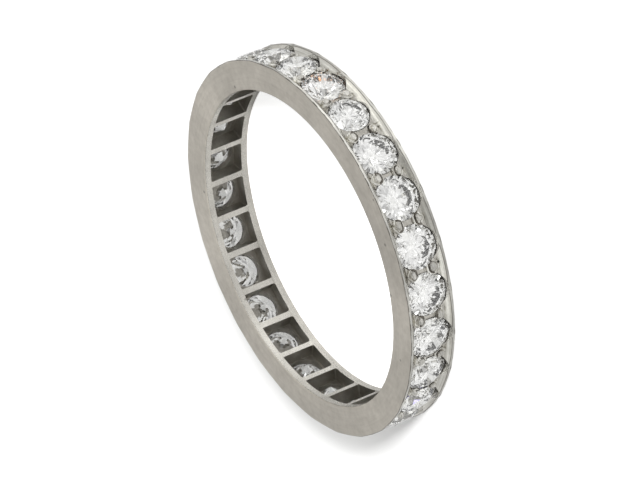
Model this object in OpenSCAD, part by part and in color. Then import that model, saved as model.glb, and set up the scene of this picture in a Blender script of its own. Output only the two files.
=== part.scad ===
// Eternity ring: a platinum band with round brilliants grain set all the way round.
// It lies on its side: the finger hole's axis is Z and one flat side is on z = 0.

/* [Band] */
// Diameter of the finger hole
bore_d = 17; // [15:0.1:20]
// Width of the band, from one flat side to the other
band_w = 2.65; // [2.6:0.01:3.2]
// Thickness of the wall, from the finger hole to the rims
wall_t = 1.6; // [1.5:0.01:2]
// Radius that rounds the band's four edges
edge_r = 0.07; // [0.04:0.01:0.1]
// Width of the rim on each side, edge rounding included
rim_w = 0.14; // [0.12:0.01:0.18]

/* [Channel] */
// Depth of the channel's floor below the rims
channel_depth = 0.3; // [0.24:0.01:0.36]
// Width over which the bright-cut wall slopes down from a rim to the floor
cut_w = 0.28; // [0.15:0.01:0.3]

/* [Stones] */
// Diameter of a stone at its girdle
stone_d = 2.2; // [2:0.01:2.21]
// Diameter of a stone's table, between opposite corners
table_d = 1.24; // [1.05:0.01:1.34]
// Height of the crown, from the girdle to the table
crown_h = 0.31; // [0.26:0.01:0.34]
// Thickness of the girdle
girdle_t = 0.05; // [0.02:0.01:0.08]
// Depth of the pavilion, from the girdle to the culet
pavilion_h = 0.97; // [0.84:0.01:0.98]
// Height of the tables above the rims
table_rise = 0.02; // [-0.05:0.01:0.05]
// Space between two neighbouring stones that the row is counted with, at their girdles
stone_space = 0.16; // [0.14:0.01:0.4]
// Share of the hand-set row's uneven spacing, 0 for an even row
uneven = 1; // [0:0.1:1]
// Clearance between a stone and its seat
seat_gap = 0.03; // [0.01:0.01:0.04]
// Diameter of the hole drilled under a stone
hole_d = 1.6; // [1.3:0.01:1.66]

/* [Grains] */
// Diameter of the round head of a grain
grain_d = 0.42; // [0.34:0.01:0.48]
// Diameter of the collar from which a grain rises
collar_d = 0.68; // [0.6:0.01:0.72]
// Height of the collar above the channel's floor
collar_h = 0.14; // [0.08:0.01:0.18]
// Distance of a grain from the middle of the band's width
grain_offset = 0.6; // [0.5:0.01:0.66]
// Height of a grain's top above the rims
grain_rise = 0.01; // [-0.06:0.01:0.04]
// Clearance between a grain and the stones that it laps
lap_gap = 0.015; // [0.005:0.005:0.025]

/* [Windows] */
// Width of the rail left on each side of the windows
rail_w = 0.38; // [0.3:0.01:0.46]
// Width of the bar left between two windows
bar_w = 0.3; // [0.24:0.01:0.4]
// Depth of a window, from the finger hole's wall
window_depth = 0.7; // [0.4:0.01:0.75]
// Step by which the bars sit back from the two rails
bar_relief = 0.05; // [0.03:0.01:0.1]

/* [Hidden] */
$fn = 96;
bore_r = bore_d / 2;
rim_r = bore_r + wall_t;
floor_r = rim_r - channel_depth;
stone_r = stone_d / 2;
table_r = table_d / 2;
seat_r = stone_r + seat_gap;
hole_r = hole_d / 2;

// Distance from the ring's axis to the middle of the girdles
girdle_level = rim_r + table_rise - crown_h - girdle_t / 2;
// The row closes round the ring with as many stones as fit it
stone_count = floor(180 / atan((stone_r + stone_space / 2) / girdle_level));
pitch = 360 / stone_count;
// Each stone is set at its own turn, a few steps on from its neighbour's
turn_step = 17;
// Places round the ring, and how far a stone set there by hand is off its even place, in degrees
set_off = [
    [0, 0], [14, -0.37], [28, -0.74], [42, -1.11], [55, -1.48], [69, -1.85], [83, -2.2], [97, -2.55],
    [111, -2.85], [125, -2.95], [138, -2.85], [152, -2.75], [166, -2.65], [180, -2.55], [194, -2.5],
    [208, -2.4], [222, -2.2], [235, -1.4], [249, -0.7], [263, 0.5], [277, 1.15], [291, 1.85],
    [305, 1.48], [318, 1.11], [332, 0.74], [346, 0.37], [360, 0],
];

// A brilliant cut has eight mains round the stone, and points halfway between them
main_count = 8;
half_angle = 180 / main_count;
// Share of the crown that the star facets cover, and of the pavilion the lower girdle facets
star_share = 0.5;
lower_share = 0.77;
// How far a cut runs past the face that it opens
over = 0.6;
// How deep a grain's collar is rooted in the channel's floor
root = 0.12;

star_r = table_r * cos(half_angle) + star_share * (stone_r - table_r * cos(half_angle));
star_h = crown_h - (star_r * cos(half_angle) - table_r) * crown_h / (stone_r - table_r);
lower_r = stone_r * (1 - lower_share);
lower_h = pavilion_h * (1 - lower_r * cos(half_angle) / stone_r);
// Drop per unit of radius along a lower girdle facet's steepest line
lower_slope = lower_h / (stone_r - lower_r);

function two_digits(i) = i < 10 ? str("0", i) : str(i);
function stone_name(i) = str("stone_", two_digits(i + 1));
function stone_angle(i) = i * pitch + uneven * lookup(i * pitch, set_off);
// Halfway from a stone to the next one, where the grains and the bars between the windows are
function middle_angle(i) = i < 0
    ? middle_angle(stone_count - 1) - 360
    : (stone_angle(i) + stone_angle(i + 1)) / 2;
function ring_of(r, h, count, first) = [
    for (k = [0:count - 1]) let (a = first + k * 360 / count) [r * cos(a), r * sin(a), h]
];

// Puts its children on the stone circle, with their +Z pointing away from the ring's axis
module on_row(angle, level, across = 0) {
    rotate([0, 0, angle])
        translate([level, 0, band_w / 2 + across])
            rotate([0, 90, 0])
                children();
}

// Section of the band before any cut, with its four edges rounded
module blank_section() {
    translate([bore_r, edge_r]) square([wall_t, band_w - 2 * edge_r]);
    translate([bore_r + edge_r, 0]) square([wall_t - 2 * edge_r, band_w]);
    for (r = [bore_r + edge_r, rim_r - edge_r], z = [edge_r, band_w - edge_r])
        translate([r, z]) circle(r = edge_r);
}

// Section of the channel between the rims, with its two sloping bright-cut walls
module channel_section() {
    polygon([
        [floor_r, rim_w + cut_w],
        [rim_r, rim_w],
        [rim_r + over, rim_w],
        [rim_r + over, band_w - rim_w],
        [rim_r, band_w - rim_w],
        [floor_r, band_w - rim_w - cut_w],
    ]);
}

// Shallow groove round the finger hole that leaves a rail on each side
module relief_section() {
    translate([bore_r - over, rail_w])
        square([over + bar_relief, band_w - 2 * rail_w]);
}

module blank() {
    rotate_extrude()
        difference() {
            blank_section();
            channel_section();
            relief_section();
        }
}

// Room for one stone: a round well down to the girdle, the conical seat and the drilled hole
module seat() {
    seat_top = crown_h + over;
    seat_foot = -girdle_t / 2 - (seat_r - hole_r) * lower_slope;
    hole_foot = bore_r + window_depth - girdle_level - over / 2;
    rotate_extrude()
        polygon([
            [0, hole_foot],
            [hole_r, hole_foot],
            [hole_r, seat_foot],
            [seat_r, -girdle_t / 2],
            [seat_r, seat_top],
            [0, seat_top],
        ]);
}

// Window behind one stone, cut square from inside the finger hole up to the bars on its two sides
module window(i) {
    before = bore_r * tan(stone_angle(i) - middle_angle(i - 1)) - bar_w / 2;
    after = bore_r * tan(middle_angle(i) - stone_angle(i)) - bar_w / 2;
    rotate([0, 0, stone_angle(i)])
        translate([bore_r - over, -before, rail_w])
            cube([window_depth + over, before + after, band_w - 2 * rail_w]);
}

// Space that a grain leaves free for a stone: its crown, and all below its girdle
module stone_room() {
    rotate_extrude()
        polygon([
            [0, -stone_r],
            [stone_r + lap_gap, -stone_r],
            [stone_r + lap_gap, girdle_t / 2],
            [star_r + lap_gap, girdle_t / 2 + star_h],
            [table_r + lap_gap, girdle_t / 2 + crown_h],
            [table_r + lap_gap, crown_h + over],
            [0, crown_h + over],
        ]);
}

// One grain after stone i: a round head on a collar whose edge laps the two stones beside it
module grain(i, across) {
    head_level = rim_r + grain_rise - grain_d / 2;
    difference() {
        union() {
            on_row(middle_angle(i), head_level, across) sphere(d = grain_d);
            on_row(middle_angle(i), floor_r - root, across) cylinder(h = root + collar_h, d = collar_d);
        }
        for (beside = [i, i + 1])
            on_row(stone_angle(beside), girdle_level) stone_room();
    }
}

// Round brilliant with its girdle's middle on z = 0 and its table up
module brilliant() {
    n = main_count;
    top = girdle_t / 2;
    table = ring_of(table_r, top + crown_h, n, 0);
    star = ring_of(star_r, top + star_h, n, half_angle);
    upper = ring_of(stone_r, top, 2 * n, 0);
    lower = ring_of(stone_r, -top, 2 * n, 0);
    main = ring_of(lower_r, -top - lower_h, n, half_angle);
    culet = [0, 0, -top - pavilion_h];
    // Where each ring of points starts in the list of all points
    s = n;
    u = s + n;
    l = u + 2 * n;
    m = l + 2 * n;
    c = m + n;
    polyhedron(concat(table, star, upper, lower, main, [culet]), concat(
        [[for (k = [n - 1:-1:0]) k]],
        [for (k = [0:n - 1]) [k, (k + 1) % n, s + k]],
        [for (k = [0:n - 1]) [k, s + k, u + 2 * k]],
        [for (k = [0:n - 1]) [k, u + 2 * k, s + (k + n - 1) % n]],
        [for (k = [0:n - 1]) [s + k, u + 2 * k + 1, u + 2 * k]],
        [for (k = [0:n - 1]) [s + k, u + (2 * k + 2) % (2 * n), u + 2 * k + 1]],
        [for (k = [0:2 * n - 1]) let (next = (k + 1) % (2 * n)) [u + k, u + next, l + next, l + k]],
        [for (k = [0:n - 1]) [m + k, l + 2 * k, l + 2 * k + 1]],
        [for (k = [0:n - 1]) [m + k, l + 2 * k + 1, l + (2 * k + 2) % (2 * n)]],
        [for (k = [0:n - 1]) [c, m + (k + n - 1) % n, l + 2 * k]],
        [for (k = [0:n - 1]) [c, l + 2 * k, m + k]]
    ));
}

module band() {
    color([0.76, 0.74, 0.71])
        union() {
            difference() {
                blank();
                for (i = [0:stone_count - 1]) {
                    on_row(stone_angle(i), girdle_level) seat();
                    window(i);
                }
            }
            for (i = [0:stone_count - 1], across = [-grain_offset, grain_offset])
                grain(i, across);
        }
}

module stone(i) {
    color([0.93, 0.95, 0.98])
        on_row(stone_angle(i), girdle_level)
            rotate([0, 0, i * turn_step])
                brilliant();
}

band();
for (i = [0:stone_count - 1])
    stone(i);
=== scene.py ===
import math
import random

import bmesh
import bpy
from mathutils import Matrix, Vector


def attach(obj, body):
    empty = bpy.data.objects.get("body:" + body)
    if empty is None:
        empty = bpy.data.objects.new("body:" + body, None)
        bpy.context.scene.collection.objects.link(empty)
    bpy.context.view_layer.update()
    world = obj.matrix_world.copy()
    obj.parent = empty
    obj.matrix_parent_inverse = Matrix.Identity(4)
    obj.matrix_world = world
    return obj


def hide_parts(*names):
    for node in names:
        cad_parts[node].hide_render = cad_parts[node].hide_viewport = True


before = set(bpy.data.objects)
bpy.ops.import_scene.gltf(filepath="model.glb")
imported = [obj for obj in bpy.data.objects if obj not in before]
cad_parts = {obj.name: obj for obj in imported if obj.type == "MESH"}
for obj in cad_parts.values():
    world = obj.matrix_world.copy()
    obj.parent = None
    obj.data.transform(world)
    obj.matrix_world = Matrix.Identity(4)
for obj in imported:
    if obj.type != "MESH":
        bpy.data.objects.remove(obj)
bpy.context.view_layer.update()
mm = 0.001  # pieces are modelled at 1 unit = 1 mm, and shrunk to metres when they are done
slack = 0.01  # a point this near a surface counts as on it, in mm
hair = 0.001  # places this near each other count as the same, in mm or radians
facing = 0.9  # a face looks one way when its normal leans this far that way
rad = math.radians
print("frame loaded")


# Small helpers for picking and editing

def pick(*pieces):
    if bpy.context.mode != "OBJECT":
        bpy.ops.object.mode_set(mode="OBJECT")
    bpy.ops.object.select_all(action="DESELECT")
    for piece in pieces:
        piece.select_set(True)
    if pieces:
        bpy.context.view_layer.objects.active = pieces[-1]


def edit(piece):
    pick(piece)
    bpy.ops.object.mode_set(mode="EDIT")
    bpy.ops.mesh.select_all(action="SELECT")


def choose(kind, test):
    # selects the open mesh's faces, edges or points that pass the test
    bpy.ops.mesh.select_all(action="DESELECT")
    bpy.ops.mesh.select_mode(type=kind)
    data = bpy.context.object.data
    opened = bmesh.from_edit_mesh(data)
    for item in {"VERT": opened.verts, "EDGE": opened.edges, "FACE": opened.faces}[kind]:
        if test(item):
            item.select_set(True)
    bmesh.update_edit_mesh(data)


def settle(piece):
    # place, turn and size go into the mesh
    pick(piece)
    bpy.ops.object.transform_apply(location=True, rotation=True, scale=True)
    return piece


def sized(piece, size):
    piece.scale = size
    return settle(piece)


def place(piece, matrix):
    settle(piece)
    piece.matrix_world = matrix
    return settle(piece)


def duplicate(piece, name):
    pick(piece)
    bpy.ops.object.duplicate(linked=False)
    twin = bpy.context.object
    twin.name = name
    twin.data.name = name
    return twin


def join(pieces, name):
    pick(*pieces)
    bpy.ops.object.join()
    whole = bpy.context.object
    whole.name = name
    whole.data.name = name
    return whole


def carve(piece, cutter, how="DIFFERENCE"):
    pick(piece)
    cut = piece.modifiers.new("cut", "BOOLEAN")
    cut.operation = how
    cut.solver = "EXACT"
    cut.object = cutter
    bpy.ops.object.modifier_apply(modifier=cut.name)
    bpy.data.objects.remove(cutter)


def spinZ(angle):
    return Matrix.Rotation(angle, 4, "Z")


# Node helpers

def tree(material):
    material.use_nodes = True
    material.node_tree.nodes.clear()
    return material.node_tree


def node(where, kind, inputs=None, **values):
    made = where.nodes.new(kind)
    for key, value in values.items():
        setattr(made, key, value)
    for key, value in (inputs or {}).items():
        if isinstance(value, bpy.types.NodeSocket):
            where.links.new(value, made.inputs[key])
        else:
            made.inputs[key].default_value = value
    return made


def maths(where, operation, *values):
    return node(where, "ShaderNodeMath", dict(enumerate(values)), operation=operation).outputs[0]


def spread(where, value, low, high, to0=0.0, to1=1.0, smooth=False):
    # from the range low to high to the range to0 to to1, and no further
    limits = {"Value": value, "From Min": low, "From Max": high, "To Min": to0, "To Max": to1}
    kind = "SMOOTHSTEP" if smooth else "LINEAR"
    return node(where, "ShaderNodeMapRange", limits, interpolation_type=kind).outputs["Result"]


def blend(where, factor, low, high):
    made = node(where, "ShaderNodeMix", data_type="RGBA")
    where.links.new(factor, made.inputs["Factor"])
    for socket, value in ((made.inputs[6], low), (made.inputs[7], high)):
        if isinstance(value, bpy.types.NodeSocket):
            where.links.new(value, socket)
        else:
            socket.default_value = (*value, 1)
    return made.outputs[2]


# Worked metal: soft mottling, fine streaks that run round the ring, pores, and a painted highlight that keeps
# the tone full near one heading round the ring, as masks and a height

workedLook = {
    "detail": {"Wear": 2.0, "Blotch": 4.0, "Streak": 3.0, "Grain": 2.0},
    "roughness": 0.6, "contrast": (0.3, 0.7),
    "streakTurn": 0.0005,  # metres that stand for one radian, so that the streaks run long round the ring
    "pitSize": 1400, "pitEdge": (0.14, 0.07), "pitShare": (0.9, 0.91),
    "paintedHighlightEdge": (-0.12, 0.06), "streakDepth": 0.5, "pitDepth": 2.0,
}


def makeWorkedMetal(look):
    group = bpy.data.node_groups.new("workedMetal", "ShaderNodeTree")
    for name in ("Wear Size", "Blotch Size", "Streak Size", "Grain Size", "Painted Highlight Heading", "Painted Highlight Reach"):
        group.interface.new_socket(name, in_out="INPUT", socket_type="NodeSocketFloat")
    for name in ("Wear", "Blotch", "Streak", "Grain", "Pit", "Painted Highlight", "Height"):
        group.interface.new_socket(name, in_out="OUTPUT", socket_type="NodeSocketFloat")
    start = group.nodes.new("NodeGroupInput")
    end = group.nodes.new("NodeGroupOutput")
    here = node(group, "ShaderNodeTexCoord").outputs["Object"]
    split = node(group, "ShaderNodeSeparateXYZ", {"Vector": here})
    x, y = split.outputs["X"], split.outputs["Y"]
    squares = [maths(group, "MULTIPLY", value, value) for value in (x, y)]
    away = maths(group, "SQRT", maths(group, "ADD", *squares))
    angle = maths(group, "ARCTAN2", y, x)
    turned = maths(group, "MULTIPLY", angle, look["streakTurn"])
    along = node(group, "ShaderNodeCombineXYZ", {"X": away, "Y": turned, "Z": split.outputs["Z"]}).outputs[0]

    noises = {}
    for name, detail in look["detail"].items():
        where = along if name == "Streak" else here
        noises[name] = node(group, "ShaderNodeTexNoise", {
            "Vector": where, "Scale": start.outputs[name + " Size"], "Detail": detail,
            "Roughness": look["roughness"]}).outputs[0]
        group.links.new(spread(group, noises[name], *look["contrast"]), end.inputs[name])

    cells = node(group, "ShaderNodeTexVoronoi", {"Vector": here, "Scale": look["pitSize"]})
    draw = node(group, "ShaderNodeSeparateColor", {"Color": cells.outputs["Color"]}).outputs["Red"]
    dent = spread(group, cells.outputs["Distance"], *look["pitEdge"])
    pit = maths(group, "MULTIPLY", dent, spread(group, draw, *look["pitShare"]))
    group.links.new(pit, end.inputs["Pit"])

    # painted highlight mask: near 1 within reach of the heading round the ring, 0 beyond it
    nearness = maths(group, "COSINE", maths(group, "SUBTRACT", angle, start.outputs["Painted Highlight Heading"]))
    nearness = maths(group, "SUBTRACT", nearness, start.outputs["Painted Highlight Reach"])
    group.links.new(spread(group, nearness, *look["paintedHighlightEdge"], smooth=True), end.inputs["Painted Highlight"])

    streaks = maths(group, "MULTIPLY", noises["Streak"], look["streakDepth"])
    height = maths(group, "SUBTRACT", maths(group, "ADD", streaks, noises["Grain"]),
                   maths(group, "MULTIPLY", pit, look["pitDepth"]))
    group.links.new(height, end.inputs["Height"])
    return group


# Metals: two tones, their roughness, how far wear and pits change the tone, the bump with its depth in metres,
# the scales of the noises, and a painted highlight as its heading and reach in degrees, within which the tone
# stays full, and the share of the tone kept elsewhere as painted shade

metals = {
    "satinSide": {
        "dark": (0.52, 0.485, 0.425), "light": (0.73, 0.689, 0.617), "rough": (0.34, 0.44),
        "wear": 0.14, "pits": 0.5, "bump": 0.5, "bumpDepth": 0.00001, "paintedHighlight": (48, 38, 0.91),
        "wearSize": 230, "blotchSize": 2600, "streakSize": 8000, "grainSize": 22000,
    },
    "brightCut": {
        "dark": (0.3, 0.285, 0.25), "light": (0.98, 0.97, 0.92), "rough": (0.08, 0.18),
        "wear": 0.1, "pits": 0.4, "bump": 0.7, "bumpDepth": 0.000015, "shares": (0.15, 0.75, 0.1),
        "wearSize": 600, "blotchSize": 2600, "streakSize": 4500, "grainSize": 20000,
    },
    "innerFinish": {
        "dark": (0.66, 0.635, 0.585), "light": (0.9, 0.875, 0.81), "rough": (0.22, 0.34),
        "wear": 0.15, "pits": 0.3, "bump": 0.5, "bumpDepth": 0.00001, "paintedHighlight": (113, 16, 0.76),
        "wearSize": 300, "blotchSize": 1800, "streakSize": 6000, "grainSize": 20000,
    },
    # painted shade: a dark finish for the hollows, wells, holes and window pockets
    "paintedShadeRecess": {
        "dark": (0.28, 0.265, 0.235), "light": (0.46, 0.44, 0.4), "rough": (0.35, 0.5),
        "wear": 0.1, "pits": 0.3, "bump": 0.8, "bumpDepth": 0.00002,
        "wearSize": 500, "blotchSize": 1500, "streakSize": 6000, "grainSize": 16000,
    },
    # painted shade: a dark finish for the shade lines at edges, wells and grain feet
    "paintedShadeLine": {
        "dark": (0.1, 0.09, 0.08), "light": (0.24, 0.225, 0.2), "rough": (0.3, 0.4),
        "wear": 0.2, "pits": 0.0, "bump": 0.4, "bumpDepth": 0.00001,
        "wearSize": 500, "blotchSize": 1500, "streakSize": 6000, "grainSize": 16000,
    },
    "channelFloor": {
        "dark": (0.36, 0.345, 0.31), "light": (0.62, 0.6, 0.555), "rough": (0.16, 0.3),
        "wear": 0.15, "pits": 0.3, "bump": 0.9, "bumpDepth": 0.00002,
        "wearSize": 500, "blotchSize": 3200, "streakSize": 9000, "grainSize": 20000,
    },
    "land": {
        "dark": (0.7, 0.685, 0.63), "light": (1.0, 0.985, 0.93), "rough": (0.12, 0.2),
        "wear": 0.25, "pits": 0.3, "bump": 0.5, "bumpDepth": 0.00001, "paintedHighlight": (-70, 15, 0.55),
        "wearSize": 420, "blotchSize": 1800, "streakSize": 9000, "grainSize": 20000,
    },
    "grainHead": {
        "dark": (0.62, 0.6, 0.55), "light": (1.0, 0.985, 0.93), "rough": (0.08, 0.16),
        "wear": 0.2, "pits": 0.0, "bump": 0.5, "bumpDepth": 0.00001, "paintedHighlight": (-70, 15, 0.62),
        "wearSize": 1500, "blotchSize": 5000, "streakSize": 9000, "grainSize": 20000,
    },
}
# how much blotches, streaks and grain each say in the tone, where a metal has no shares of its own
usualShares = (0.5, 0.3, 0.2)


def makeMetal(name, look, workedMetal):
    made = bpy.data.materials.new(name)
    graph = tree(made)
    worked = node(graph, "ShaderNodeGroup", node_tree=workedMetal)
    for size in ("Wear", "Blotch", "Streak", "Grain"):
        worked.inputs[size + " Size"].default_value = look[size.lower() + "Size"]
    shares = zip(("Blotch", "Streak", "Grain"), look.get("shares", usualShares))
    blotch, streak, fine = [maths(graph, "MULTIPLY", worked.outputs[part], share) for part, share in shares]
    mottling = maths(graph, "ADD", blotch, maths(graph, "ADD", streak, fine))
    colour = blend(graph, mottling, look["dark"], look["light"])
    wearAndPaintedHighlight = spread(graph, worked.outputs["Wear"], 0, 1, 1 - look["wear"], 1 + look["wear"])
    wearAndPaintedHighlight = maths(graph, "MULTIPLY", wearAndPaintedHighlight, spread(graph, worked.outputs["Pit"], 0, 1, 1, 1 - look["pits"]))
    # painted highlight: the tone stays full near one heading and is darkened everywhere else, as painted shade
    if "paintedHighlight" in look:
        heading, reach, paintedShadeShare = look["paintedHighlight"]
        worked.inputs["Painted Highlight Heading"].default_value = rad(heading)
        worked.inputs["Painted Highlight Reach"].default_value = math.cos(rad(reach))
        wearAndPaintedHighlight = maths(graph, "MULTIPLY", wearAndPaintedHighlight, spread(graph, worked.outputs["Painted Highlight"], 0, 1, paintedShadeShare, 1))
    toned = node(graph, "ShaderNodeVectorMath", {0: colour, "Scale": wearAndPaintedHighlight}, operation="SCALE").outputs[0]
    rough = spread(graph, worked.outputs["Grain"], 0, 1, *look["rough"])
    bump = node(graph, "ShaderNodeBump", {
        "Strength": look["bump"], "Distance": look["bumpDepth"], "Height": worked.outputs["Height"]})
    shader = node(graph, "ShaderNodeBsdfPrincipled", {
        "Base Color": toned, "Metallic": 1.0, "Roughness": rough, "Normal": bump.outputs[0]})
    node(graph, "ShaderNodeOutputMaterial", {"Surface": shader.outputs[0]})
    return made


workedMetal = makeWorkedMetal(workedLook)
finishes = [makeMetal(name, look, workedMetal) for name, look in metals.items()]
finishNames = list(metals)
print("metals made")


# The band: one sector, centred on the space between two stones, is cut and raised, then copied round

band = {
    "boreR": 8.5, "rimR": 10.1, "width": 2.65, "edgeR": 0.07, "edgeSteps": 4,
    "rimW": 0.138, "cutW": 0.277, "depth": 0.3, "scallop": 0.036,
    "landEdge": 0.034, "foot": 0.02, "softSteps": 2,
    "railW": 0.38, "relief": 0.05, "barW": 0.28, "barVary": (-0.03, 0.015),
    "windowDepth": 0.7, "windowCorner": 0.1, "cornerSteps": 3,
    "girdleR": 9.785, "wellR": 1.14, "lipR": 9.84, "mouthR": 1.168, "holeR": 0.85, "coneSlope": 0.874,
    "wellSides": 64, "stones": 26, "steps": 12, "kinds": 9, "seed": 7,
    "weld": 0.0004, "smooth": 28,
}
# how far each cutter runs past what it cuts, in mm
past = {"well": 0.8, "hole": 0.3, "window": 0.6, "room": 1}
floorR = band["rimR"] - band["depth"]
pitch = 2 * math.pi / band["stones"]
half = pitch / 2
midZ = band["width"] / 2
halfSide = spinZ(math.pi / band["wellSides"])
chance = random.Random(band["seed"])


def addBlank():
    # the section with its channel, spun over one pitch
    wall = band["rimR"] - band["boreR"]
    middle = (band["boreR"] + wall / 2, 0, midZ)
    bpy.ops.mesh.primitive_plane_add(size=1, location=middle, rotation=(rad(90), 0, 0))
    blank = sized(bpy.context.object, (wall, band["width"], 1))
    edit(blank)
    wallFoot = band["rimW"] + band["cutW"]
    levels = [band["rimW"], band["railW"], wallFoot]
    for z in levels + [band["width"] - z for z in levels]:
        bpy.ops.mesh.select_all(action="SELECT")
        bpy.ops.mesh.bisect(plane_co=(0, 0, z), plane_no=(0, 0, 1))
    edgeZ = lambda v: min(v.co.z, band["width"] - v.co.z)
    inner = (band["railW"] + wallFoot) / 2
    choose("VERT", lambda v: v.co.x < band["boreR"] + slack and edgeZ(v) > inner)
    bpy.ops.transform.translate(value=(band["relief"], 0, 0))
    for z in levels[1:]:
        drop = band["depth"] * (z - band["rimW"]) / band["cutW"]
        choose("VERT", lambda v: v.co.x > band["rimR"] - slack and abs(edgeZ(v) - z) < hair)
        bpy.ops.transform.translate(value=(-drop, 0, 0))
    choose("VERT", lambda v: edgeZ(v) < hair)
    bpy.ops.mesh.bevel(offset=band["edgeR"], segments=band["edgeSteps"], affect="VERTICES")
    bpy.ops.mesh.select_all(action="SELECT")
    bpy.ops.mesh.spin(steps=band["steps"], angle=pitch, center=(0, 0, 0), axis=(0, 0, 1))
    bpy.ops.mesh.select_all(action="SELECT")
    bpy.ops.mesh.normals_make_consistent(inside=False)
    pick(blank)
    place(blank, spinZ(half))  # spin runs the other way round with no window

    # each bright-cut wall is flatter than the ring, so the walls meet in a ridge at every stone
    edit(blank)
    away = lambda v: math.hypot(v.co.x, v.co.y)
    onRim = lambda v: away(v) > band["rimR"] - slack
    for k in range(band["steps"] + 1):
        angle = (k / band["steps"] * 2 - 1) * half
        raised = band["scallop"] * (angle / half) ** 2
        here = lambda v: abs(math.atan2(v.co.y, v.co.x) - angle) < hair
        choose("VERT", lambda v: here(v) and away(v) > floorR - slack and not onRim(v))
        bpy.ops.transform.translate(value=(raised * math.cos(angle), raised * math.sin(angle), 0))
        for sign, z in ((1, band["rimW"]), (-1, band["width"] - band["rimW"])):
            choose("VERT", lambda v: here(v) and onRim(v) and abs(v.co.z - z) < hair)
            bpy.ops.transform.translate(value=(0, 0, sign * raised * band["cutW"] / band["depth"]))

    # soft edges along the top and the foot of the walls
    stepLength = floorR * pitch / band["steps"]
    runsRound = lambda e: abs(e.verts[0].co.y - e.verts[1].co.y) > stepLength / 2
    onLand = lambda v: onRim(v) and band["rimW"] - slack < edgeZ(v) < band["rimW"] + band["scallop"] + slack
    onFloor = lambda v: floorR - hair < away(v) < floorR + band["scallop"] + hair
    for offset, test in ((band["landEdge"], onLand), (band["foot"], onFloor)):
        choose("EDGE", lambda e: runsRound(e) and all(test(v) for v in e.verts))
        bpy.ops.mesh.bevel(offset=offset, segments=band["softSteps"], affect="EDGES")
    pick(blank)
    return blank


def addStack(name, base, steps, sides):
    # a turned solid along +Z: steps lists (level, radius) upwards, and the first radius starts at the base
    level, size = steps[0]
    bpy.ops.mesh.primitive_cylinder_add(vertices=sides, radius=size, depth=level - base,
                                        location=(0, 0, (level + base) / 2))
    turned = settle(bpy.context.object)
    turned.name = name
    edit(turned)
    choose("FACE", lambda f: f.normal.z > facing and f.calc_center_median().z > level - hair)
    for nextLevel, nextSize in steps[1:]:
        bpy.ops.mesh.extrude_region_move(TRANSFORM_OT_translate={"value": (0, 0, nextLevel - level)})
        ratio = nextSize / size
        bpy.ops.transform.resize(value=(ratio, ratio, 1), center_override=(0, 0, nextLevel))
        level, size = nextLevel, nextSize
    pick(turned)
    return turned


def layDown(piece, angle, across=0.0, lean=Matrix.Identity(4)):
    # leans it, then turns its own +Z to the ring's outward direction at that angle
    outward = Matrix.Rotation(rad(90), 4, "Y")
    return place(piece, spinZ(angle) @ Matrix.Translation((0, 0, midZ + across)) @ outward @ lean)


def addWell(angle, size):
    # what is cut out for a stone: the drilled hole, the cone of the seat, the well and its wider mouth
    foot = band["girdleR"] - stone["girdle"] / 2
    coneEnd = foot - (band["wellR"] - band["holeR"]) * band["coneSlope"]
    steps = [(coneEnd, band["holeR"]), (foot, band["wellR"]), (band["lipR"], band["wellR"]),
             (band["rimR"], band["mouthR"]), (band["rimR"] + past["well"], band["mouthR"])]
    steps = [(level, radius * size) for level, radius in steps]
    base = band["boreR"] + band["windowDepth"] - past["hole"]
    return layDown(addStack("well", base, steps, band["wellSides"]), angle, lean=halfSide)


def addWindow(angle, halfWidths):
    # what is cut out behind a stone, from its middle to the bar before it and to the bar after it
    low, high = band["boreR"] - past["window"], band["boreR"] + band["windowDepth"]
    bpy.ops.mesh.primitive_cube_add(size=1, location=((low + high) / 2, 0, midZ))
    window = sized(bpy.context.object, (high - low, 1, band["width"] - 2 * band["railW"]))
    edit(window)
    for side, halfWidth in zip((-1, 1), halfWidths):
        choose("FACE", lambda f: f.normal.y * side > facing)
        bpy.ops.transform.translate(value=(0, side * (halfWidth - 0.5), 0))  # the cube reaches 0.5 each way
    choose("EDGE", lambda e: abs(e.verts[0].co.x - e.verts[1].co.x) > (high - low) / 2)
    bpy.ops.mesh.bevel(offset=band["windowCorner"], segments=band["cornerSteps"], affect="EDGES")
    pick(window)
    return place(window, spinZ(angle))


stone = {
    "r": 1.1, "tableR": 0.62, "crown": 0.31, "girdle": 0.05, "pavilion": 0.97,
    "starShare": 0.5, "lowerShare": 0.77, "mains": 8, "sides": 64, "weld": 0.0005, "flatWithin": 0.3,
    "turn": 17, "tilt": 0.8, "lift": 0.008,
    # the kinds of cut differ within these limits
    "kinds": 4, "seed": 11, "tables": (0.97, 1.03), "crowns": (0.97, 1.0), "pavilions": (0.965, 0.995),
    "starShares": (0.46, 0.54), "lowerShares": (0.75, 0.79),
}
# degrees from the middle of a main facet to the middle of the star facet beside it
halfStep = 180 / stone["mains"]


def stoneRings(cut):
    # where the star and lower facets meet: (star radius, star height, lower radius, lower depth)
    narrow = math.cos(rad(halfStep))
    tableFlat = cut["tableR"] * narrow
    starR = tableFlat + cut["starShare"] * (cut["r"] - tableFlat)
    starH = cut["crown"] - (starR * narrow - cut["tableR"]) * cut["crown"] / (cut["r"] - cut["tableR"])
    lowerR = cut["r"] * (1 - cut["lowerShare"])
    lowerH = cut["pavilion"] * (1 - lowerR * narrow / cut["r"])
    return starR, starH, lowerR, lowerH


def addRoom(angle, size):
    # the space that the stone at that angle takes, which the grains leave free
    starR, starH, _, _ = stoneRings(stone)
    top = band["girdleR"] + stone["girdle"] / 2
    steps = [(top, stone["r"]), (top + starH, starR), (top + stone["crown"], stone["tableR"]),
             (top + past["room"], stone["tableR"])]
    steps = [(level, radius * size + grain["gap"]) for level, radius in steps]
    room = addStack("room", band["girdleR"] - past["room"], steps, band["wellSides"])
    return layDown(room, angle, lean=halfSide)


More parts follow.
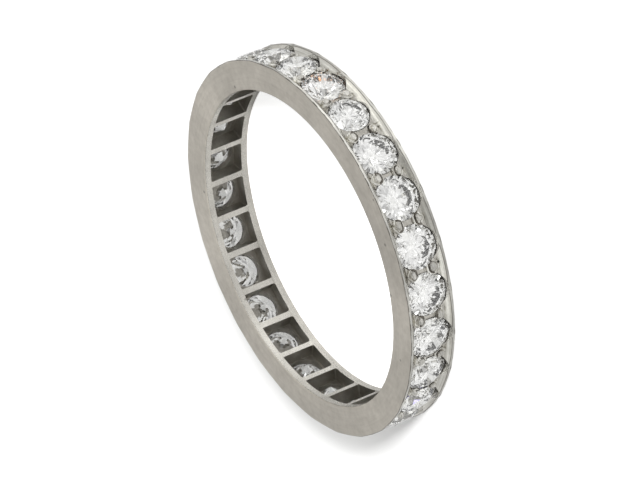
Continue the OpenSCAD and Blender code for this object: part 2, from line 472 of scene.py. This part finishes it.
grain = {
    "offset": 0.6, "head": 0.19, "collar": 0.335, "root": 0.14, "height": 0.305, "gap": 0.015, "sides": 24,
    # which part's radius, its share of that radius, and its share of the grain's height
    "profile": [("collar", 1.0, 0.3), ("collar", 0.93, 0.42), ("collar", 0.82, 0.46), ("head", 1.1, 0.36),
                ("head", 1.03, 0.42), ("head", 0.99, 0.6), ("head", 0.87, 0.78), ("head", 0.66, 0.9),
                ("head", 0.38, 0.97), ("head", 0.12, 1.0)],
    # each grain differs within these limits: shares, degrees, mm and radians
    "sizes": (0.84, 1.08), "heights": (0.8, 1.0), "leans": (-11, 11), "longer": (0.88, 1.14),
    "wider": (0.82, 1.04), "across": (-0.03, 0.03), "along": (-0.003, 0.003),
}


def addGrain(side):
    size = chance.uniform(*grain["sizes"])
    tall = grain["height"] * chance.uniform(*grain["heights"])
    steps = [(floorR, grain["collar"] * size)]
    steps += [(floorR + tall * high, grain[part] * size * wide) for part, wide, high in grain["profile"]]
    bead = addStack("bead", floorR - grain["root"], steps, grain["sides"])
    # some are pushed up a little longer than wide, and each leans its own way
    pivot = Matrix.Translation((0, 0, floorR))
    lean = pivot
    for axis in "XY":
        lean = lean @ Matrix.Rotation(rad(chance.uniform(*grain["leans"])), 4, axis)
    stretch = (chance.uniform(*grain["longer"]), chance.uniform(*grain["wider"]), 1, 1)
    lean = lean @ Matrix.Diagonal(stretch) @ pivot.inverted()
    across = side * (grain["offset"] + chance.uniform(*grain["across"]))
    return layDown(bead, chance.uniform(*grain["along"]), across, lean)


# graver's pits in the channel's floor, and one deep notch in the far wall
nick = {
    "share": 0.75, "corners": 4, "radii": (0.1, 0.16), "tipR": 0.01, "height": 0.3, "middle": 0.02,
    "spins": (0, 1.5), "along": (-0.018, 0.018), "across": (0.9, 0.98),
}
notch = {"side": -1, "corners": 3, "size": 1.6, "along": 0.03, "inward": 0.06}
notchAt = 20  # its sector


def addNick(side, corners=nick["corners"], size=1.0, along=0.0, inward=0.0):
    # a pit where a grain was raised from the floor
    radius = chance.uniform(*nick["radii"]) * size
    bpy.ops.mesh.primitive_cone_add(vertices=corners, radius1=radius, radius2=nick["tipR"],
                                    depth=nick["height"])
    pit = bpy.context.object
    upsideDown = Matrix.Rotation(math.pi, 4, "X")
    level = Matrix.Translation((0, 0, floorR + nick["middle"]))
    place(pit, level @ spinZ(chance.uniform(*nick["spins"])) @ upsideDown)
    angle = chance.uniform(*nick["along"]) + along
    return layDown(pit, angle, side * (chance.uniform(*nick["across"]) - inward))


# pores in the top flat side: sector, then angle in it, distance from the axis and size
pores = {19: (0.035, 8.56, 0.055), 21: (-0.05, 9.4, 0.03), 3: (0.06, 9.0, 0.03)}
poreShape = {"wide": 0.7, "deep": 0.8, "above": 0.1}  # as shares of a pore's size


def addPore(angle, away, size):
    bpy.ops.mesh.primitive_ico_sphere_add(subdivisions=2, radius=1)
    pore = sized(bpy.context.object, (size, size * poreShape["wide"], size * poreShape["deep"]))
    top = band["width"] + size * poreShape["above"]
    return place(pore, spinZ(angle) @ Matrix.Translation((away, 0, top)))


def addSector(kind, before=1.0, after=1.0):
    # before and after are the sizes of the two stones that it reaches to
    sector = duplicate(blank, f"sector{kind}")
    carve(sector, join([addWell(-half, before), addWell(half, after)], "wells"))
    widest = band["boreR"] * math.tan(half) - band["barW"] / 2
    windows = []
    for side in (-1, 1):
        near = widest + chance.uniform(*band["barVary"])
        windows.append(addWindow(side * half, (near, widest) if side > 0 else (widest, near)))
    carve(sector, join(windows, "windows"))
    beads = join([addGrain(-1), addGrain(1)], "beads")
    carve(beads, join([addRoom(-half, before), addRoom(half, after)], "rooms"))
    carve(sector, beads, "UNION")
    for side in (-1, 1):
        if chance.random() < nick["share"]:
            carve(sector, addNick(side))
    # its two ends are opened, so that it welds to its neighbours
    edit(sector)
    endX, endY = math.sin(half), math.cos(half)
    atEnd = lambda v: abs(abs(v.co.x * endX) - abs(v.co.y * endY)) < hair / 10
    choose("FACE", lambda f: all(atEnd(v) for v in f.verts))
    bpy.ops.mesh.delete(type="FACE")
    pick(sector)
    print("sector", kind, "cut")
    return sector


# where finishes end: widths in mm, and how far a face leans outwards, or upwards at an edge or a flat side
finishAt = {
    "flatSide": 0.93, "upperEdge": 0.5, "lowerEdge": 0.2, "margin": 0.03, "land": 0.84, "channel": -0.5,
    "wellMargin": 0.004, "lipMargin": 0.02, "wellWall": 0.5, "headR": 0.24, "headRise": 0.16,
    "footR": (0.18, 0.25), "footMargin": 0.05, "paintedShadeLine": (0.75, 0.985), "floor": 0.97, "floorMargin": 0.04,
    "bore": -0.3,
}


def finishOf(face, before, after):
    # which finish a face of a sector gets, from its place and the way it faces
    at = finishAt
    centre, normal = face.center, face.normal
    away = math.hypot(centre.x, centre.y)
    above = away - floorR
    edgeZ = min(centre.z, band["width"] - centre.z)
    landEnd = band["rimW"] + band["scallop"]
    out = (centre.x * normal.x + centre.y * normal.y) / away
    aside = abs(math.atan2(centre.y, centre.x))
    nearest = after if centre.y > 0 else before
    fromStone = math.hypot(away * math.sin(half - aside), centre.z - midZ) / nearest
    fromGrain = math.hypot(away * math.sin(aside), abs(centre.z - midZ) - grain["offset"])
    # painted shade: the outer rounding of each edge gets the dark crease finish, as a shade line and as the
    # contact shadow under the ring
    if edgeZ < band["edgeR"] and abs(normal.z) > at["upperEdge" if normal.z > 0 else "lowerEdge"]:
        outerEdge = away > band["rimR"] - band["edgeR"] and abs(normal.z) <= at["flatSide"]
        return "paintedShadeLine" if outerEdge else "satinSide"
    if away > band["rimR"] - at["margin"] and out > at["land"] and edgeZ < landEnd:
        return "land"
    if away > floorR - at["margin"] and out > at["channel"]:
        inWell = fromStone < band["wellR"] + at["wellMargin"] and away < band["lipR"] + at["lipMargin"]
        # painted shade: the well's wall above the girdle gets the dark crease finish as the stone's shadow
        # outline, and below it the dark recess finish
        if inWell and out < at["wellWall"]:
            return "paintedShadeLine" if away > band["girdleR"] else "paintedShadeRecess"
        if fromGrain < at["headR"] and above > at["headRise"]:
            return "grainHead"
        # painted shade: a dark crease finish round the grains' feet and along the foot of the land
        inward = abs(centre.z - midZ) < grain["offset"] + at["footMargin"]
        atFoot = inward and at["footR"][0] < fromGrain < at["footR"][1] and above < at["headRise"]
        besideLand = edgeZ < landEnd + at["margin"] and out > at["paintedShadeLine"][0]
        if (atFoot or besideLand) and out < at["paintedShadeLine"][1]:
            return "paintedShadeLine"
        return "channelFloor" if out > at["floor"] and away < floorR + at["floorMargin"] else "brightCut"
    if away < band["boreR"] + band["relief"] + at["margin"] and out < at["bore"]:
        return "innerFinish"
    # painted shade: the window pockets, drilled holes and other inner walls get the dark recess finish
    return "paintedShadeRecess"


# how far each stone was set by hand from its even place, in degrees
setOff = [0, -0.37, -0.74, -1.11, -1.48, -1.85, -2.2, -2.55, -2.85, -2.95, -2.85, -2.75, -2.65,
          -2.55, -2.5, -2.4, -2.2, -1.4, -0.7, 0.5, 1.15, 1.85, 1.48, 1.11, 0.74, 0.37]
stoneAt = [k * pitch + rad(off) for k, off in enumerate(setOff)] + [2 * math.pi]
# the few stones that are a little wider or narrower than the others
stoneSize = {16: 1.03, 17: 1.03, 18: 1.03, 19: 1.05, 20: 1.03, 21: 0.93}
# what turns whole with a stone: all within this radius of it, or past this angle from the sector's middle
held = {"r": 1.19, "past": 4.5}


def fitSector(sector, shift, before, after):
    # the two stones' ends of a sector turn a little, so that it reaches from one stone to the next
    edit(sector)
    aside = lambda v: abs(math.atan2(v.co.y, v.co.x))
    seat = lambda v: math.hypot(math.hypot(v.co.x, v.co.y) * math.sin(half - aside(v)), v.co.z - midZ)
    for side, size in ((-1, before), (1, after)):
        turnsWith = lambda v: seat(v) < held["r"] * size or aside(v) > rad(held["past"])
        choose("VERT", lambda v: v.co.y * side > 0 and turnsWith(v))
        bpy.ops.transform.rotate(value=-shift * side, orient_axis="Z", center_override=(0, 0, 0))
    pick(sector)


blank = addBlank()
for finish in finishes:
    blank.data.materials.append(finish)
sectors = [addSector(k) for k in range(band["kinds"])]
placed = []
for k in range(band["stones"]):
    before, after = stoneSize.get(k, 1.0), stoneSize.get((k + 1) % band["stones"], 1.0)
    if before != 1.0 or after != 1.0:
        sector = addSector(k, before, after)
    elif k < band["kinds"]:
        sector = duplicate(sectors[k], "part")
    else:
        sector = duplicate(chance.choice(sectors), "part")
    if k == notchAt:
        carve(sector, addNick(**notch))
    if k in pores:
        carve(sector, addPore(*pores[k]))
    for face in sector.data.polygons:
        face.material_index = finishNames.index(finishOf(face, before, after))
    fitSector(sector, (stoneAt[k + 1] - stoneAt[k] - pitch) / 2, before, after)
    placed.append(place(sector, spinZ((stoneAt[k] + stoneAt[k + 1]) / 2)))
for spare in sectors + [blank]:
    bpy.data.objects.remove(spare)
ringBody = join(placed, "platinumBand")
edit(ringBody)
bpy.ops.mesh.remove_doubles(threshold=band["weld"])
bpy.ops.mesh.normals_make_consistent(inside=False)
pick(ringBody)
print("band joined")


# The stones: a round brilliant cut from a turned blank, one plane for each facet

def addBrilliant(cut, name):
    top, foot = cut["girdle"] / 2, -cut["girdle"] / 2
    table, culet = top + cut["crown"], foot - cut["pavilion"]
    starR, starH, lowerR, lowerH = stoneRings(cut)
    narrow, chord = math.cos(rad(halfStep)), math.cos(rad(halfStep / 2))
    bpy.ops.mesh.primitive_cylinder_add(vertices=cut["sides"], radius=cut["r"],
                                        depth=top + cut["crown"] + cut["pavilion"] - foot,
                                        location=(0, 0, (top + cut["crown"] + foot - cut["pavilion"]) / 2))
    gem = settle(bpy.context.object)
    gem.name = name
    edit(gem)
    # facets: how many of a kind, where the first faces, and two places (radius, height) that it runs through
    mains = cut["mains"]
    facets = [
        (mains, 0, (cut["tableR"], table), (cut["r"], top)),
        (mains, halfStep, (cut["tableR"] * narrow, table), (starR, top + starH)),
        (2 * mains, halfStep / 2, (starR * chord, top + starH), (cut["r"] * chord, top)),
        (mains, 0, (0, culet), (cut["r"], foot)),
        (2 * mains, halfStep / 2, (lowerR * chord, foot - lowerH), (cut["r"] * chord, foot)),
    ]
    for count, first, (r0, h0), (r1, h1) in facets:
        sign = 1 if h0 > 0 else -1
        run = Vector((r1 - r0, h1 - h0)).normalized()
        for k in range(count):
            angle = rad(first + 360 / count * k)
            flat = Vector((math.cos(angle), math.sin(angle), 0))
            outward = flat * (-run.y * sign) + Vector((0, 0, run.x * sign))
            bpy.ops.mesh.select_all(action="SELECT")
            bpy.ops.mesh.bisect(plane_co=flat * r1 + Vector((0, 0, h1)), plane_no=outward,
                                use_fill=True, clear_outer=True)
    bpy.ops.mesh.select_all(action="SELECT")
    bpy.ops.mesh.remove_doubles(threshold=cut["weld"])
    bpy.ops.mesh.select_all(action="SELECT")
    bpy.ops.mesh.dissolve_limited(angle_limit=rad(cut["flatWithin"]))
    bpy.ops.mesh.normals_make_consistent(inside=False)
    pick(gem)
    return gem


luck = random.Random(stone["seed"])
masters = []
for k in range(stone["kinds"]):
    cut = dict(stone)
    cut["tableR"] *= luck.uniform(*stone["tables"])
    cut["crown"] *= luck.uniform(*stone["crowns"])
    cut["pavilion"] *= luck.uniform(*stone["pavilions"])
    cut["starShare"] = luck.uniform(*stone["starShares"])
    cut["lowerShare"] = luck.uniform(*stone["lowerShares"])
    masters.append(addBrilliant(cut, f"cut{k}"))
print("stones cut")
gems = []
for k in range(band["stones"]):
    gem = duplicate(masters[luck.randrange(stone["kinds"])], f"brilliant{k + 1:02d}")
    size = stoneSize.get(k, 1.0)
    sized(gem, (size, size, 1))
    tilt = Matrix.Rotation(rad(luck.uniform(-1, 1) * stone["tilt"]), 4, "X")
    tilt = tilt @ Matrix.Rotation(rad(luck.uniform(-1, 1) * stone["tilt"]), 4, "Y")
    lift = Matrix.Translation((0, 0, band["girdleR"] + luck.uniform(-1, 0) * stone["lift"]))
    layDown(gem, stoneAt[k], lean=lift @ tilt @ spinZ(rad(k * stone["turn"])))
    gems.append(gem)
for master in masters:
    bpy.data.objects.remove(master)
print("stones set")


# Diamond, with painted glints: two crown facets glow in a spectral colour as painted fire, one of them only in
# the view through stones

glassLook = {"ior": 2.417, "tint": (1.0, 1.0, 0.985), "paintedGlintStrength": 0.8}
paintedGlints = [
    {"stone": 22, "steep": 0.85, "along": 0.86, "up": -0.51, "colour": (1.0, 0.42, 0.12), "onFace": False},
    {"stone": 14, "steep": 0.94, "along": 0.81, "up": 0.58, "colour": (0.42, 0.36, 0.85), "onFace": True},
]
steepWithin = 0.03  # how closely a facet's steepness has to agree with a painted glint's

glass = bpy.data.materials.new("diamond")
graph = tree(glass)
shader = node(graph, "ShaderNodeBsdfPrincipled", {
    "Base Color": (*glassLook["tint"], 1), "Metallic": 0.0, "Roughness": 0.0, "IOR": glassLook["ior"],
    "Transmission Weight": 1.0})
node(graph, "ShaderNodeOutputMaterial", {"Surface": shader.outputs[0]})
for gem in gems:
    gem.data.materials.append(glass)


def addPaintedGlint(paintedGlint):
    coloured = glass.copy()
    coloured.name = f"diamondPaintedGlint{paintedGlint['stone']:02d}"
    graph = coloured.node_tree
    shader = graph.nodes["Principled BSDF"]
    # painted glint: the facet glows in its colour, with no lamp behind it
    shader.inputs["Emission Color"].default_value = (*paintedGlint["colour"], 1)
    shader.inputs["Emission Strength"].default_value = glassLook["paintedGlintStrength"]
    if not paintedGlint["onFace"]:
        sees = node(graph, "ShaderNodeLightPath").outputs["Is Camera Ray"]
        graph.links.new(blend(graph, sees, paintedGlint["colour"], (0, 0, 0)), shader.inputs["Emission Color"])
    gem = gems[paintedGlint["stone"]]
    gem.data.materials.append(coloured)
    heading = stoneAt[paintedGlint["stone"]]
    out = Vector((math.cos(heading), math.sin(heading), 0))
    across = Vector((-out.y, out.x, 0)) * paintedGlint["along"] + Vector((0, 0, paintedGlint["up"]))
    crown = [face for face in gem.data.polygons if abs(face.normal.dot(out) - paintedGlint["steep"]) < steepWithin]
    max(crown, key=lambda face: face.normal.dot(across)).material_index = 1


for paintedGlint in paintedGlints:
    addPaintedGlint(paintedGlint)
print("stones have their glass")


# Shrink to metres, smooth, and hand over to the frame

ridge = {"bend": 4, "lean": (0.4, 0.9), "rise": 0.03}  # degrees, how far the walls face sideways, and mm


def isRidge(edge):
    # where two bright-cut walls meet
    low, high = ridge["lean"]
    for face in edge.link_faces:
        if finishNames[face.material_index] != "brightCut" or not low < abs(face.normal.z) < high:
            return False
    bent = len(edge.link_faces) == 2 and edge.calc_face_angle(0) > rad(ridge["bend"])
    return bent and abs(edge.verts[0].co.z - edge.verts[1].co.z) > ridge["rise"] * mm


for piece in [ringBody] + gems:
    sized(piece, (mm, mm, mm))
pick(ringBody)
bpy.ops.object.shade_smooth_by_angle(angle=rad(band["smooth"]))
edit(ringBody)
choose("EDGE", isRidge)
bpy.ops.mesh.mark_sharp()
pick(ringBody)
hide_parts("band")
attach(ringBody, "root")
for k, gem in enumerate(gems):
    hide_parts(f"stone_{k + 1:02d}")
    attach(gem, "root")
print("pieces handed over")


# Floor: pale paper that is darker where it is mirrored and glows a little for the camera, with painted light
# inside the finger hole that washes out the ring's shadow there

floorLook = {
    "size": 6, "colour": 0.88, "mirrored": 0.72, "glow": 0.05, "paintedLightInHole": 0.5, "rough": 0.9, "shine": 0.1,
}
bpy.ops.mesh.primitive_plane_add(size=floorLook["size"], location=(0, 0, 0))
floor = bpy.context.object
floor.name = "floor"
paper = bpy.data.materials.new("paper")
graph = tree(paper)
sees = node(graph, "ShaderNodeLightPath").outputs["Is Camera Ray"]
spot = node(graph, "ShaderNodeTexCoord").outputs["Object"]
fromAxis = node(graph, "ShaderNodeVectorMath", {0: spot}, operation="LENGTH").outputs["Value"]
holeR = band["boreR"] * mm
# painted light: the floor inside the finger hole glows for the camera, which washes out the ring's shadow
# there
glow = spread(graph, fromAxis, holeR, holeR + band["edgeR"] * mm, floorLook["paintedLightInHole"], floorLook["glow"])
glow = maths(graph, "MULTIPLY", glow, sees)
tone = spread(graph, sees, 0, 1, floorLook["mirrored"], floorLook["colour"])
shader = node(graph, "ShaderNodeBsdfPrincipled", {
    "Base Color": tone, "Roughness": floorLook["rough"], "Specular IOR Level": floorLook["shine"],
    "Emission Color": (1, 1, 1, 1), "Emission Strength": glow})
node(graph, "ShaderNodeOutputMaterial", {"Surface": shader.outputs[0]})
floor.data.materials.append(paper)


# Light and camera

lamp = {"heading": -88, "elevation": 24.3, "distance": 0.6, "size": 0.1, "power": 5.2}


def towards(heading, elevation):
    # a direction of length 1, from degrees round the ring's axis and degrees up
    turned, raised = rad(heading), rad(elevation)
    flat = math.cos(raised)
    return Vector((math.cos(turned) * flat, math.sin(turned) * flat, math.sin(raised)))


data = bpy.data.lights.new("key", "AREA")
data.size = lamp["size"]
data.energy = lamp["power"]
key = bpy.data.objects.new("key", data)
key.location = towards(lamp["heading"], lamp["elevation"]) * lamp["distance"]
key.rotation_euler = key.location.to_track_quat("Z", "Y").to_euler()
key.visible_glossy = False  # it lights the floor, and leaves no hot spot on the metal or in the stones
key.visible_transmission = False
bpy.context.scene.collection.objects.link(key)

# the studio round the ring: a soft gradient with paler and darker screens, the first ones widest
studio = {"horizon": (0.72, 0.72, 0.71), "zenith": (0.8, 0.8, 0.79), "screens": [
    {"heading": 82, "elevation": 27, "radius": 34, "soft": 14, "light": (0.68, 0.68, 0.68)},
    {"heading": -98, "elevation": 14, "radius": 46, "soft": 10, "light": (0.91, 0.91, 0.91)},
    {"heading": 45, "elevation": 6, "radius": 9, "soft": 6, "light": (0.82, 0.81, 0.79)},
    {"heading": -14, "elevation": 47, "radius": 13, "soft": 8, "light": (1.3, 1.29, 1.24)},
    {"heading": -92, "elevation": 66, "radius": 14, "soft": 8, "light": (0.52, 0.52, 0.5)},
    {"heading": -168, "elevation": 50, "radius": 12, "soft": 8, "light": (1.0, 1.0, 0.97)},
    {"heading": -98, "elevation": 27, "radius": 10, "soft": 4, "light": (0.45, 0.45, 0.45)},
    {"heading": -60, "elevation": 22, "radius": 8, "soft": 3, "light": (0.55, 0.55, 0.55)},
    {"heading": -135, "elevation": 16, "radius": 9, "soft": 3, "light": (0.55, 0.55, 0.55)},
    {"heading": -125, "elevation": 45, "radius": 7, "soft": 3, "light": (0.6, 0.6, 0.6)},
    {"heading": -65, "elevation": 45, "radius": 6, "soft": 3, "light": (0.6, 0.6, 0.6)},
    {"heading": -160, "elevation": 25, "radius": 8, "soft": 3, "light": (0.6, 0.6, 0.6)},
    {"heading": -30, "elevation": 22, "radius": 8, "soft": 3, "light": (0.6, 0.6, 0.6)},
    {"heading": -80, "elevation": 38, "radius": 3, "soft": 1, "light": (5, 5, 5)},
]}
world = bpy.data.worlds.new("studio")
bpy.context.scene.world = world
graph = tree(world)
direction = node(graph, "ShaderNodeTexCoord").outputs["Generated"]
height = node(graph, "ShaderNodeSeparateXYZ", {"Vector": direction}).outputs["Z"]
light = blend(graph, spread(graph, height, 0, 1), studio["horizon"], studio["zenith"])
for screen in studio["screens"]:
    aim = towards(screen["heading"], screen["elevation"])
    nearness = node(graph, "ShaderNodeVectorMath", {0: direction, 1: aim}, operation="DOT_PRODUCT")
    edge, core = math.cos(rad(screen["radius"] + screen["soft"])), math.cos(rad(screen["radius"]))
    inside = spread(graph, nearness.outputs["Value"], edge, core, smooth=True)
    light = blend(graph, inside, light, screen["light"])
sky = node(graph, "ShaderNodeBackground", {"Color": light, "Strength": 1.0})
node(graph, "ShaderNodeOutputWorld", {"Surface": sky.outputs[0]})
print("lights on")

shot = {"heading": -99.1, "elevation": 26.63, "roll": -112.236, "distance": 0.2696,
        "aim": (-0.0000355, -0.0002063, 0.0013317), "lens": 300, "sensor": 36, "nearest": 0.01}
heading, roll = rad(shot["heading"]), rad(shot["roll"])
back = towards(shot["heading"], shot["elevation"])
level = Vector((-math.sin(heading), math.cos(heading), 0))
rise = back.cross(level)
right = level * math.cos(roll) + rise * math.sin(roll)
up = rise * math.cos(roll) - level * math.sin(roll)
data = bpy.data.cameras.new("camera")
data.lens = shot["lens"]
data.sensor_width = shot["sensor"]
data.clip_start = shot["nearest"]
camera = bpy.data.objects.new("camera", data)
turn = Matrix((right, up, back)).transposed().to_4x4()
camera.matrix_world = Matrix.Translation(Vector(shot["aim"]) + back * shot["distance"]) @ turn
bpy.context.scene.collection.objects.link(camera)
bpy.context.scene.camera = camera

scene = bpy.context.scene
scene.view_settings.view_transform = "Standard"
scene.cycles.max_bounces = 24
scene.cycles.transmission_bounces = 20
scene.cycles.glossy_bounces = 8

print("scene ready")
